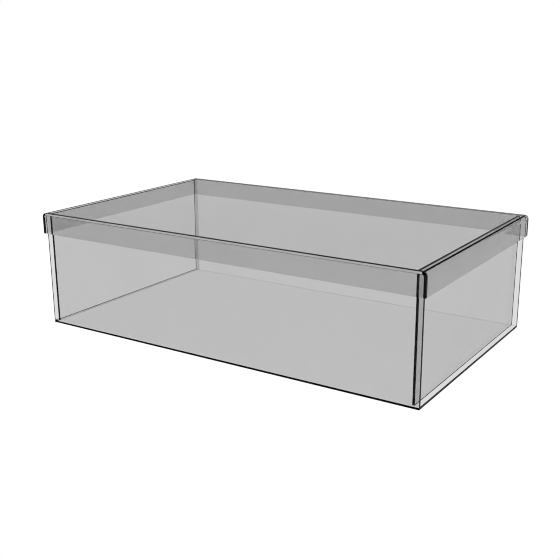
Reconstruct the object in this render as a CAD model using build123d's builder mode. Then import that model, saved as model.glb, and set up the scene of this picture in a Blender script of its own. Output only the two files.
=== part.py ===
from build123d import *
import os

# Shoe box of clear tinted acrylic sheet with a lift-off lid.
#
# The box is five flat panels welded together: a floor between a front wall
# and a rear wall of the full width, and two end walls set in a little from
# the ends.  The lid is one sheet bent down at both ends, closed by a straight
# skirt along the front and another along the rear.
#
# Frame: millimetres, +X to the right along the long side, +Y to the rear and
# +Z up.  The origin is the centre of the underside.

# Driving dimensions
box_width = 350.0
box_depth = 203.0
box_height = 96.5
sheet = 2.0
end_wall_inset = 4.0
lid_clearance = 0.3
skirt_drop = 18.0
bend_radius_inside = 1.5
corner_radius = 1.8
arris = 0.2

# Places that follow from them
half_width = box_width / 2
half_depth = box_depth / 2
inner_depth = box_depth - 2 * sheet
end_wall_height = box_height - sheet
lid_top = box_height + sheet
skirt_bottom = lid_top - skirt_drop
skirt_height = box_height - skirt_bottom
lid_inner_half_width = half_width + lid_clearance
lid_outer_half_width = lid_inner_half_width + sheet
lid_outer_half_depth = half_depth + lid_clearance + sheet
bend_radius_outside = bend_radius_inside + sheet

os.makedirs("parts", exist_ok=True)


def write(piece, name):
    """Label a finished piece and write it as one STEP file."""
    piece.part.label = name
    export_step(piece.part, f"parts/{name}.step")


# Floor: lies between the front and rear walls and runs out to both ends
with BuildPart() as floor_panel:
    with BuildSketch(Plane.XY):
        Rectangle(box_width, inner_depth)
    extrude(amount=sheet)
    chamfer(floor_panel.edges(), arris)
write(floor_panel, "floor_panel")

# Front wall: the full width, with its top corners rounded so that they stay
# clear of the inside of the lid's bends
with BuildPart() as front_wall:
    with BuildSketch(Plane.XZ.offset(half_depth)):
        with Locations((0, box_height / 2)):
            Rectangle(box_width, box_height)
    extrude(amount=-sheet)
    fillet(front_wall.edges().filter_by(Axis.Y).group_by(Axis.Z)[-1], corner_radius)
    chamfer(front_wall.faces().filter_by(Axis.Y).edges(), arris)
write(front_wall, "front_wall")

# Rear wall: the same panel on the far side
with BuildPart() as rear_wall:
    mirror(front_wall.part, about=Plane.XZ)
write(rear_wall, "rear_wall")

# Right end wall: stands on the floor between the front and rear walls
with BuildPart() as right_end_wall:
    with BuildSketch(Plane.YZ.offset(half_width - end_wall_inset)):
        with Locations((0, sheet + end_wall_height / 2)):
            Rectangle(inner_depth, end_wall_height)
    extrude(amount=-sheet)
    chamfer(right_end_wall.edges(), arris)
write(right_end_wall, "right_end_wall")

# Left end wall: the same panel at the other end
with BuildPart() as left_end_wall:
    mirror(right_end_wall.part, about=Plane.YZ)
write(left_end_wall, "left_end_wall")

# Lid panel: the top and both end skirts, one strip bent down at its ends
with BuildPart() as lid_panel:
    with BuildSketch(Plane.XZ.offset(lid_outer_half_depth)):
        with BuildLine():
            outside = FilletPolyline(
                (-lid_outer_half_width, skirt_bottom),
                (-lid_outer_half_width, lid_top),
                (lid_outer_half_width, lid_top),
                (lid_outer_half_width, skirt_bottom),
                radius=bend_radius_outside,
            )
            offset(outside, amount=sheet, side=Side.RIGHT)
        make_face()
    extrude(amount=-2 * lid_outer_half_depth)
    chamfer(lid_panel.faces().filter_by(Axis.Y).edges(), arris)
write(lid_panel, "lid_panel")

# Front skirt of the lid: hangs under the lid panel between its end skirts,
# flush with its front edge
with BuildPart() as lid_front_skirt:
    with BuildSketch(Plane.XZ.offset(lid_outer_half_depth)):
        with Locations((0, skirt_bottom + skirt_height / 2)):
            Rectangle(2 * lid_inner_half_width, skirt_height)
    extrude(amount=-sheet)
    fillet(lid_front_skirt.edges().filter_by(Axis.Y).group_by(Axis.Z)[-1], corner_radius)
    chamfer(lid_front_skirt.faces().filter_by(Axis.Y).edges(), arris)
write(lid_front_skirt, "lid_front_skirt")

# Rear skirt of the lid: the same strip along the rear edge
with BuildPart() as lid_rear_skirt:
    mirror(lid_front_skirt.part, about=Plane.XZ)
write(lid_rear_skirt, "lid_rear_skirt")
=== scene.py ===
import math

import bpy
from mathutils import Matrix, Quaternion, Vector


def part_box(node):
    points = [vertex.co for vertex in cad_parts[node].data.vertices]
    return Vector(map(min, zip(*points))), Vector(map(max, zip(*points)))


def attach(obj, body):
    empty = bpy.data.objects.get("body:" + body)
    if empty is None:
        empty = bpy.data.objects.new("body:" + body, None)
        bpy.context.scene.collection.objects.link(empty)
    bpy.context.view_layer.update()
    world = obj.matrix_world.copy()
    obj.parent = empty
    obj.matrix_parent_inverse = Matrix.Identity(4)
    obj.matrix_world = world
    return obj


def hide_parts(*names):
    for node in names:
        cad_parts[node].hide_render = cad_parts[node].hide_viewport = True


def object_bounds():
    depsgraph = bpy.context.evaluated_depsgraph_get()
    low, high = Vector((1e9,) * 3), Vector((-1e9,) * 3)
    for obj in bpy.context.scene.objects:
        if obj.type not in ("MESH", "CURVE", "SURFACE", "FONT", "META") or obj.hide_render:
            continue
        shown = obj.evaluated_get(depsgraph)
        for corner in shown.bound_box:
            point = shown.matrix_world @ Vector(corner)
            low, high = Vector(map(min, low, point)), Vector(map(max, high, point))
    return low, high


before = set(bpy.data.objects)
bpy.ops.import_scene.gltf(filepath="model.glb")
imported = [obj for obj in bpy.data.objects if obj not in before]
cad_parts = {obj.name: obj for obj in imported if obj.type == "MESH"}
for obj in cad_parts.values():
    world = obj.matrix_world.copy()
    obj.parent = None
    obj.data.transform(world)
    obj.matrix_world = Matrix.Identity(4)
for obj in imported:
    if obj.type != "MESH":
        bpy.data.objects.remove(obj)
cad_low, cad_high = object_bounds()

# Shoe box of smoked acrylic sheet with a lift-off lid, in metres.
#
# Each panel is built as a closed sheet with rounded arrises, so that light
# bends and dims in it as in the real material.  Every face carries three shares for the
# acrylic material: how much painted shade (near black, for light held in the sheet), how frosted
# and how bonded it is.

MM = 0.001

# Sheet: its rounded edges, and the gap left where two sheets meet
ARRIS_RADIUS = 0.25 * MM
CORNER_RADIUS = 1.8 * MM
BEND_RADIUS_INSIDE = 1.5 * MM
JOINT_GAP = 0.02 * MM

# Steps round an arris, a corner and a bend.  A longer step than the last one is a straight run.
ARRIS_STEPS = 3
CORNER_STEPS = 5
BEND_STEPS = 32
LONGEST_ARC_STEP = 1.0 * MM

# The square part of an edge is two strips, which meet at this share of the thickness
SQUARE_LEVELS = (ARRIS_STEPS, ARRIS_STEPS + 1)
WELD_START = 0.6

# Sizes that follow from the frame
lid_low, lid_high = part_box("lid_panel")
floor_low, floor_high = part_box("floor_panel")
SHEET = floor_high.z - floor_low.z
BEND_RADIUS_OUTSIDE = BEND_RADIUS_INSIDE + SHEET

# Acrylic: the light left after each face, and how much of its gloss is seen
ACRYLIC_IOR = 1.49
FACE_TINT = 0.856
GLOSS_SHARE = 0.09
GLOSS_LEVEL = 0.5
FULL_GLOSS_FRESNEL = 0.3
SMUDGE_DIMMING = 0.006

# Tones of the cut edges and share of light that a bonded face passes, each with its two ends
# The first tones are painted shade: near black, for the light held inside a saw-cut sheet
PAINTED_SHADE_TONE = (0.002, 0.006)
FROSTED_TONE = (0.48, 0.60)
WELD_TONE = (FACE_TINT - 0.008, FACE_TINT + 0.004)

# Light: the dome dims from its horizon level to its overhead level between two heights
DOME_HEIGHTS = (0.10, 0.30)
DOME_LEVELS = (1.0, 0.25)
FLOOR_REACH = 20.0
FLOOR_DROP = 0.1 * MM
LIGHT_BOUNCES = 32

# Finishes of a face: (painted shade, frosted, bonded) shares.  A clear face bends light.  A
# painted-shade one is a saw-cut edge painted near black for the light held inside the sheet.  A
# frosted one scatters light.  A bonded one passes it straight on.
CLEAR = (0.0, 0.0, 0.0)
PAINTED_SHADE = (1.0, 0.0, 0.0)
# Part painted shade: a saw-cut edge painted partly black, for part of the light held inside the
# sheet
PART_PAINTED_SHADE = (0.6, 0.0, 0.0)
FROSTED = (0.0, 1.0, 0.0)
BONDED = (0.0, 0.0, 1.0)


# --- Sheet geometry ---------------------------------------------------------

def arc(centre, radius, start, turn, steps):
    """Points along an arc, both ends included; angles are in degrees."""
    angles = [math.radians(start + turn * step / steps) for step in range(steps + 1)]
    return [
        (centre[0] + radius * math.cos(angle), centre[1] + radius * math.sin(angle))
        for angle in angles
    ]


def rectangle_outline(low, high, top_radius, inset):
    """A rectangle's outline, anticlockwise, with small lower and chosen upper corner radii."""
    small = ARRIS_RADIUS
    corners = [
        (low[0] + small, low[1] + small, small, 180),
        (high[0] - small, low[1] + small, small, 270),
        (high[0] - top_radius, high[1] - top_radius, top_radius, 0),
        (low[0] + top_radius, high[1] - top_radius, top_radius, 90),
    ]
    points = []
    for across, up, radius, start in corners:
        points += arc((across, up), radius - inset, start, 90, CORNER_STEPS)
    return points


def arris_rings(outline, low, high):
    """Outlines through the sheet's thickness, drawn in at both faces to round the arrises.

    One more outline at WELD_START divides the square part of the edge in two.
    """
    rings = []
    for step in range(ARRIS_STEPS + 1):
        angle = math.radians(90 * step / ARRIS_STEPS)
        inset = ARRIS_RADIUS * (1 - math.sin(angle))
        depth = ARRIS_RADIUS * (1 - math.cos(angle))
        rings.append((outline(inset), low + depth))
    mirrored = [(points, high - (depth - low)) for points, depth in reversed(rings)]
    divide = (outline(0.0), low + WELD_START * (high - low))
    return rings + [divide] + mirrored


def sheet_mesh(name, rings, place, edge_kind, cap_kind, caps=None):
    """A closed mesh through the rings, with its finish on each face.

    edge_kind(normal_u, normal_v, v, level) gives the finish round the outline, cap_kind(u, v,
    high_face) that of the faces that fill the first and last ring, and caps those faces' loops.
    """
    count = len(rings[0][0])
    vertices = [place(u, v, depth) for points, depth in rings for u, v in points]
    faces = []
    finishes = []
    smooth = []
    last = len(rings) - 1
    for level in range(last):
        base = level * count
        for index in range(count):
            after = (index + 1) % count
            faces.append((base + index, base + after, base + count + after, base + count + index))
            (u0, v0), (u1, v1) = rings[level][0][index], rings[level][0][after]
            straight = math.hypot(u1 - u0, v1 - v0) > LONGEST_ARC_STEP
            finishes.append(edge_kind(v1 - v0, u0 - u1, (v0 + v1) / 2, level))
            smooth.append(level not in SQUARE_LEVELS or not straight)
    for level in (0, last):
        base = level * count
        loops = caps(count) if caps else [tuple(range(count))]
        for loop in loops:
            faces.append(tuple(base + index for index in (loop if level else reversed(loop))))
            points = [rings[level][0][index] for index in loop]
            middle = [sum(point[axis] for point in points) / len(points) for axis in (0, 1)]
            finishes.append(cap_kind(*middle, bool(level)))
            smooth.append(False)
    mesh = bpy.data.meshes.new(name)
    mesh.from_pydata(vertices, [], faces)
    # The first share marks painted shade: cut edges painted near black for the light held inside
    # the sheet
    for position, finish_name in enumerate(("painted_shade_share", "frosted", "bonded")):
        share = mesh.attributes.new(finish_name, "FLOAT", "FACE")
        share.data.foreach_set("value", [finish[position] for finish in finishes])
    mesh.polygons.foreach_set("use_smooth", smooth)
    sharp = mesh.attributes.new("sharp_edge", "BOOLEAN", "EDGE")
    arris_ends = (0, ARRIS_STEPS, ARRIS_STEPS + 2, last)
    for edge, mark in zip(mesh.edges, sharp.data):
        levels = {vertex // count for vertex in edge.vertices}
        mark.value = len(levels) == 1 and levels.pop() in arris_ends
    mesh.update()
    return mesh


def add_piece(mesh, body, node):
    """Puts an acrylic sheet's mesh in the scene as the piece that stands for a CAD node."""
    mesh.materials.append(acrylic)
    piece = bpy.data.objects.new(mesh.name, mesh)
    bpy.context.scene.collection.objects.link(piece)
    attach(piece, body)
    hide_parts(node)


def flat_panel(node, body, thin, kinds, top_radius=ARRIS_RADIUS, faces_kind=(CLEAR, CLEAR)):
    """A flat sheet in the place of a CAD node, thin along one axis.

    kinds gives the finish of the edge on the low and high side of both other axes.  A pair there
    is the finish of the edge's part nearer the low face and of its part nearer the high face.
    faces_kind gives the finish of the low and the high face.
    """
    low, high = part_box(node)
    gap = Vector((JOINT_GAP,) * 3)
    low = low + gap
    high = high - gap
    across, up = [axis for axis in (0, 1, 2) if axis != thin]

    def place(u, v, depth):
        spot = Vector((0, 0, 0))
        spot[across], spot[up], spot[thin] = u, v, depth
        return spot

    def outline(inset):
        return rectangle_outline(
            (low[across], low[up]), (high[across], high[up]), top_radius, inset
        )

    def edge_kind(normal_u, normal_v, v, level):
        if abs(normal_u) > abs(normal_v):
            kind = kinds[0] if normal_u < 0 else kinds[1]
        else:
            kind = kinds[2] if normal_v < 0 else kinds[3]
        return kind if isinstance(kind[0], float) else kind[level > ARRIS_STEPS]

    def cap_kind(u, v, high_face):
        return faces_kind[high_face]

    rings = arris_rings(outline, low[thin], high[thin])
    mesh = sheet_mesh(node + "_sheet", rings, place, edge_kind, cap_kind)
    if thin == 1:
        # X and Z make a left-handed pair about Y, so the faces come out inside out
        mesh.flip_normals()
    add_piece(mesh, body, node)


def bent_lid():
    """The lid's top and end skirts: one sheet bent down at both ends."""
    half_width = lid_high.x - JOINT_GAP
    top = lid_high.z
    bottom = lid_low.z
    thickness = SHEET - JOINT_GAP
    inner_half_width = half_width - thickness

    def outline(inset):
        outer_radius = BEND_RADIUS_OUTSIDE - inset
        inner_radius = BEND_RADIUS_INSIDE + inset
        small = ARRIS_RADIUS - inset
        bend_across = half_width - BEND_RADIUS_OUTSIDE
        bend_up = top - BEND_RADIUS_OUTSIDE
        foot = bottom + ARRIS_RADIUS
        outer = arc((half_width - ARRIS_RADIUS, foot), small, 270, 90, CORNER_STEPS)
        outer += arc((bend_across, bend_up), outer_radius, 0, 90, BEND_STEPS)
        outer += arc((-bend_across, bend_up), outer_radius, 90, 90, BEND_STEPS)
        outer += arc((-half_width + ARRIS_RADIUS, foot), small, 180, 90, CORNER_STEPS)
        inner = arc((-inner_half_width - ARRIS_RADIUS, foot), small, 270, 90, CORNER_STEPS)
        inner += arc((-bend_across, bend_up), inner_radius, 180, -90, BEND_STEPS)
        inner += arc((bend_across, bend_up), inner_radius, 90, -90, BEND_STEPS)
        inner += arc((inner_half_width + ARRIS_RADIUS, foot), small, 180, 90, CORNER_STEPS)
        return outer + inner

    def end_strips(count):
        """Quads between the outer and inner halves of the outline."""
        half = count // 2
        return [
            (index, index + 1, count - 2 - index, count - 1 - index)
            for index in range(half - 1)
        ]

    def edge_kind(normal_u, normal_v, v, level):
        if v < bottom + ARRIS_RADIUS:
            return BONDED
        on_end_skirt = v < top - BEND_RADIUS_OUTSIDE
        # Painted shade: the end skirts' arrises are painted near black, for the light held inside
        # the sheet at its edges
        return PAINTED_SHADE if on_end_skirt and level not in SQUARE_LEVELS else CLEAR

    def cap_kind(u, v, high_face):
        # Painted shade: the end skirts' cut faces are painted near black
        if v < top - BEND_RADIUS_OUTSIDE:
            return PAINTED_SHADE
        return FROSTED if abs(u) < half_width - BEND_RADIUS_OUTSIDE else CLEAR

    def place(u, v, depth):
        return Vector((u, depth, v))

    rings = arris_rings(outline, lid_low.y, lid_high.y)
    mesh = sheet_mesh("lid_panel_sheet", rings, place, edge_kind, cap_kind, end_strips)
    # Its outline is in X and Z too, like that of a flat sheet thin along Y
    mesh.flip_normals()
    add_piece(mesh, "lid", "lid_panel")


# --- Materials --------------------------------------------------------------

class Nodes:
    """A short way to add and link a material's or world's nodes."""

    def __init__(self, tree):
        self.tree = tree
        tree.nodes.clear()

    def add(self, kind, **values):
        """A new node, with a number or another node's output in each named input."""
        node = self.tree.nodes.new("ShaderNode" + kind)
        for name, value in values.items():
            socket = node.inputs[name.replace("_", " ")]
            if isinstance(value, bpy.types.NodeSocket):
                self.tree.links.new(value, socket)
            else:
                socket.default_value = value
        return node

    def attribute(self, name):
        """The number that a face carries under this name."""
        node = self.add("Attribute")
        node.attribute_name = name
        return node.outputs["Fac"]

    def mix(self, share, first, second):
        """A shader between first and second, which is all second at a share of 1."""
        node = self.add("MixShader")
        for socket, value in zip(node.inputs, (share, first, second)):
            self.tree.links.new(value, socket)
        return node.outputs[0]

    def blend(self, share, first, second):
        """A number between first and second, which is second at a share of 1."""
        node = self.add("Mix")
        node.data_type = "FLOAT"
        for index, value in ((0, share), (2, first), (3, second)):
            if isinstance(value, bpy.types.NodeSocket):
                self.tree.links.new(value, node.inputs[index])
            else:
                node.inputs[index].default_value = value
        return node.outputs[0]

    def ranged(self, value, low, high, to_low, to_high):
        """A number carried from one range to another, and held within it."""
        return self.add(
            "MapRange", Value=value, From_Min=low, From_Max=high, To_Min=to_low, To_Max=to_high
        ).outputs[0]


def clear_face(n, place):
    """A polished face: bends and dims the light, with a weak gloss, smudges and hairlines."""
    smudge = n.add("TexNoise", Vector=place, Scale=18.0, Detail=4.0, Roughness=0.6).outputs["Fac"]
    handled = n.ranged(smudge, 0.48, 0.75, 0.0, 1.0)
    along = n.add("Mapping", Vector=place, Rotation=(0.4, 0.7, 0.5), Scale=(40.0, 2500.0, 900.0))
    hair = n.add("TexNoise", Vector=along.outputs[0], Scale=1.0, Detail=1.0).outputs["Fac"]
    hairline = n.ranged(hair, 0.70, 0.76, 0.0, 1.0)
    gloss = n.blend(handled, 0.03, 0.16)
    gloss = n.blend(hairline, gloss, 0.30)
    waves = n.add("TexNoise", Vector=place, Scale=22.0, Detail=2.0).outputs["Fac"]
    surface = n.add("Bump", Height=waves, Strength=0.2, Distance=0.01 * MM).outputs[0]
    scored = n.add("Bump", Height=hairline, Strength=0.1, Distance=0.01 * MM, Normal=surface)
    dimmed = n.blend(handled, FACE_TINT, FACE_TINT - SMUDGE_DIMMING)
    tint = n.add("CombineColor", Red=dimmed, Green=dimmed, Blue=dimmed).outputs[0]
    bent = n.add("BsdfRefraction", Color=tint, Roughness=0.0, IOR=ACRYLIC_IOR, Normal=surface)
    sheen = (GLOSS_LEVEL, GLOSS_LEVEL, GLOSS_LEVEL, 1)
    mirror = n.add("BsdfGlossy", Color=sheen, Roughness=gloss, Normal=scored.outputs[0])
    glance = n.add("Fresnel", IOR=ACRYLIC_IOR, Normal=surface).outputs[0]
    share = n.ranged(glance, 0.0, FULL_GLOSS_FRESNEL, 0.0, GLOSS_SHARE)
    return n.mix(share, bent.outputs[0], mirror.outputs[0])


def painted_shade_cut(n, place):
    """A saw-cut edge painted near black, a painted shade for the light held inside the sheet, with
    fine upright tooth marks.
    """
    teeth = n.add("Mapping", Vector=place, Scale=(2600.0, 2600.0, 120.0)).outputs[0]
    mark = n.add("TexNoise", Vector=teeth, Scale=1.0, Detail=2.0).outputs["Fac"]
    level = n.ranged(mark, 0.3, 0.7, *PAINTED_SHADE_TONE)
    tone = n.add("CombineColor", Red=level, Green=level, Blue=level).outputs[0]
    rough = n.ranged(mark, 0.3, 0.7, 0.30, 0.50)
    ridged = n.add("Bump", Height=mark, Strength=0.4, Distance=0.02 * MM).outputs[0]
    return n.add(
        "BsdfPrincipled",
        Base_Color=tone, Roughness=rough, Specular_IOR_Level=0.05, Normal=ridged,
    ).outputs[0]


def frosted_cut(n, place):
    """A milled edge, matt and pale, with fine cutter marks and a little uneven."""
    cutter = n.add("Mapping", Vector=place, Scale=(3000.0, 3000.0, 400.0)).outputs[0]
    mark = n.add("TexNoise", Vector=cutter, Scale=1.0, Detail=2.0).outputs["Fac"]
    patch = n.add("TexNoise", Vector=place, Scale=60.0, Detail=3.0).outputs["Fac"]
    level = n.ranged(patch, 0.3, 0.7, *FROSTED_TONE)
    tone = n.add("CombineColor", Red=level, Green=level, Blue=level).outputs[0]
    rough = n.ranged(mark, 0.3, 0.7, 0.5, 0.7)
    ridged = n.add("Bump", Height=mark, Strength=0.3, Distance=0.02 * MM).outputs[0]
    return n.add("BsdfPrincipled", Base_Color=tone, Roughness=rough, Normal=ridged).outputs[0]


def welded_face(n, place):
    """A face wetted by solvent cement: light goes straight on, a little uneven in tone."""
    flow = n.add("TexNoise", Vector=place, Scale=45.0, Detail=3.0).outputs["Fac"]
    level = n.ranged(flow, 0.3, 0.7, *WELD_TONE)
    tint = n.add("CombineColor", Red=level, Green=level, Blue=level).outputs[0]
    return n.add("BsdfTransparent", Color=tint).outputs[0]


def acrylic_material():
    """Smoked cast acrylic, whose look on each face follows that face's finish; cut edges may carry
    painted shade.
    """
    material = bpy.data.materials.new("smoked_acrylic")
    material.use_nodes = True
    n = Nodes(material.node_tree)
    place = n.add("TexCoord").outputs["Object"]
    shown = clear_face(n, place)
    # Painted shade: the first finish paints cut edges near black for the light held inside the
    # sheet
    for finish, shader in (("painted_shade_share", painted_shade_cut), ("frosted", frosted_cut), ("bonded", welded_face)):
        shown = n.mix(n.attribute(finish), shown, shader(n, place))
    n.add("OutputMaterial", Surface=shown)
    return material


def light_floor():
    """The pale floor: a large evenly lit sheet just under the box."""
    mesh = bpy.data.meshes.new("pale_floor")
    sides = ((-1, -1), (1, -1), (1, 1), (-1, 1))
    corners = [(x * FLOOR_REACH, y * FLOOR_REACH, -FLOOR_DROP) for x, y in sides]
    mesh.from_pydata(corners, [], [(0, 1, 2, 3)])
    material = bpy.data.materials.new("pale_floor")
    material.use_nodes = True
    n = Nodes(material.node_tree)
    glow = n.add("Emission", Color=(1, 1, 1, 1), Strength=1.0)
    n.add("OutputMaterial", Surface=glow.outputs[0])
    mesh.materials.append(material)
    floor = bpy.data.objects.new("pale_floor", mesh)
    bpy.context.scene.collection.objects.link(floor)


def studio_light():
    """A soft dome, white at the horizon and dimmer overhead."""
    world = bpy.data.worlds.new("studio")
    bpy.context.scene.world = world
    world.use_nodes = True
    n = Nodes(world.node_tree)
    direction = n.add("TexCoord").outputs["Generated"]
    height = n.add("SeparateXYZ", Vector=direction).outputs["Z"]
    level = n.ranged(height, *DOME_HEIGHTS, *DOME_LEVELS)
    dome = n.add("Background", Color=(1, 1, 1, 1), Strength=level)
    n.add("OutputWorld", Surface=dome.outputs[0])


# --- Camera -----------------------------------------------------------------

VIEW_AZIMUTH = math.radians(32.98)
VIEW_ELEVATION = math.radians(16.19)
VIEW_ROLL = math.radians(-0.28)
VIEW_DISTANCE = 0.7612
PAN_RIGHT = -2.56 * MM
PAN_UP = -8.38 * MM
LENS = 56.95
SENSOR_WIDTH = 36.0


def add_camera():
    """A camera in front of the box, to its right and a little above it."""
    data = bpy.data.cameras.new("camera")
    data.lens = LENS
    data.sensor_width = SENSOR_WIDTH
    data.dof.use_dof = False
    camera = bpy.data.objects.new("camera", data)
    bpy.context.scene.collection.objects.link(camera)
    centre = (cad_low + cad_high) / 2
    ahead = Vector((
        -math.cos(VIEW_ELEVATION) * math.sin(VIEW_AZIMUTH),
        math.cos(VIEW_ELEVATION) * math.cos(VIEW_AZIMUTH),
        -math.sin(VIEW_ELEVATION),
    ))
    right = ahead.cross(Vector((0, 0, 1))).normalized()
    up = right.cross(ahead)
    camera.location = centre - VIEW_DISTANCE * ahead + PAN_RIGHT * right + PAN_UP * up
    level = ahead.to_track_quat("-Z", "Y")
    camera.rotation_euler = (level @ Quaternion((0, 0, 1), VIEW_ROLL)).to_euler()
    bpy.context.scene.camera = camera


# --- Scene ------------------------------------------------------------------

acrylic = acrylic_material()

# Edges with painted shade are painted near black for the light held inside the sheet; the rear
# wall's right edge gets part of it
floor_kinds = (PAINTED_SHADE, PAINTED_SHADE, (PAINTED_SHADE, BONDED), BONDED)
flat_panel("floor_panel", "box", 2, floor_kinds, faces_kind=(BONDED, CLEAR))
flat_panel("front_wall", "box", 1, (CLEAR, PAINTED_SHADE, PAINTED_SHADE, PAINTED_SHADE), CORNER_RADIUS)
flat_panel("rear_wall", "box", 1, (CLEAR, PART_PAINTED_SHADE, BONDED, CLEAR), CORNER_RADIUS)
flat_panel("left_end_wall", "box", 0, (PAINTED_SHADE, BONDED, BONDED, PAINTED_SHADE))
flat_panel("right_end_wall", "box", 0, (PAINTED_SHADE, PAINTED_SHADE, PAINTED_SHADE, PAINTED_SHADE))
bent_lid()
flat_panel("lid_front_skirt", "lid", 1, (CLEAR, CLEAR, BONDED, CLEAR), CORNER_RADIUS)
flat_panel("lid_rear_skirt", "lid", 1, (CLEAR, CLEAR, BONDED, CLEAR), CORNER_RADIUS)

light_floor()
studio_light()
add_camera()

scene = bpy.context.scene
scene.view_settings.view_transform = "Standard"
scene.cycles.filter_width = 1.0
for kind in ("max_bounces", "transmission_bounces", "glossy_bounces", "transparent_max_bounces"):
    setattr(scene.cycles, kind, LIGHT_BOUNCES)
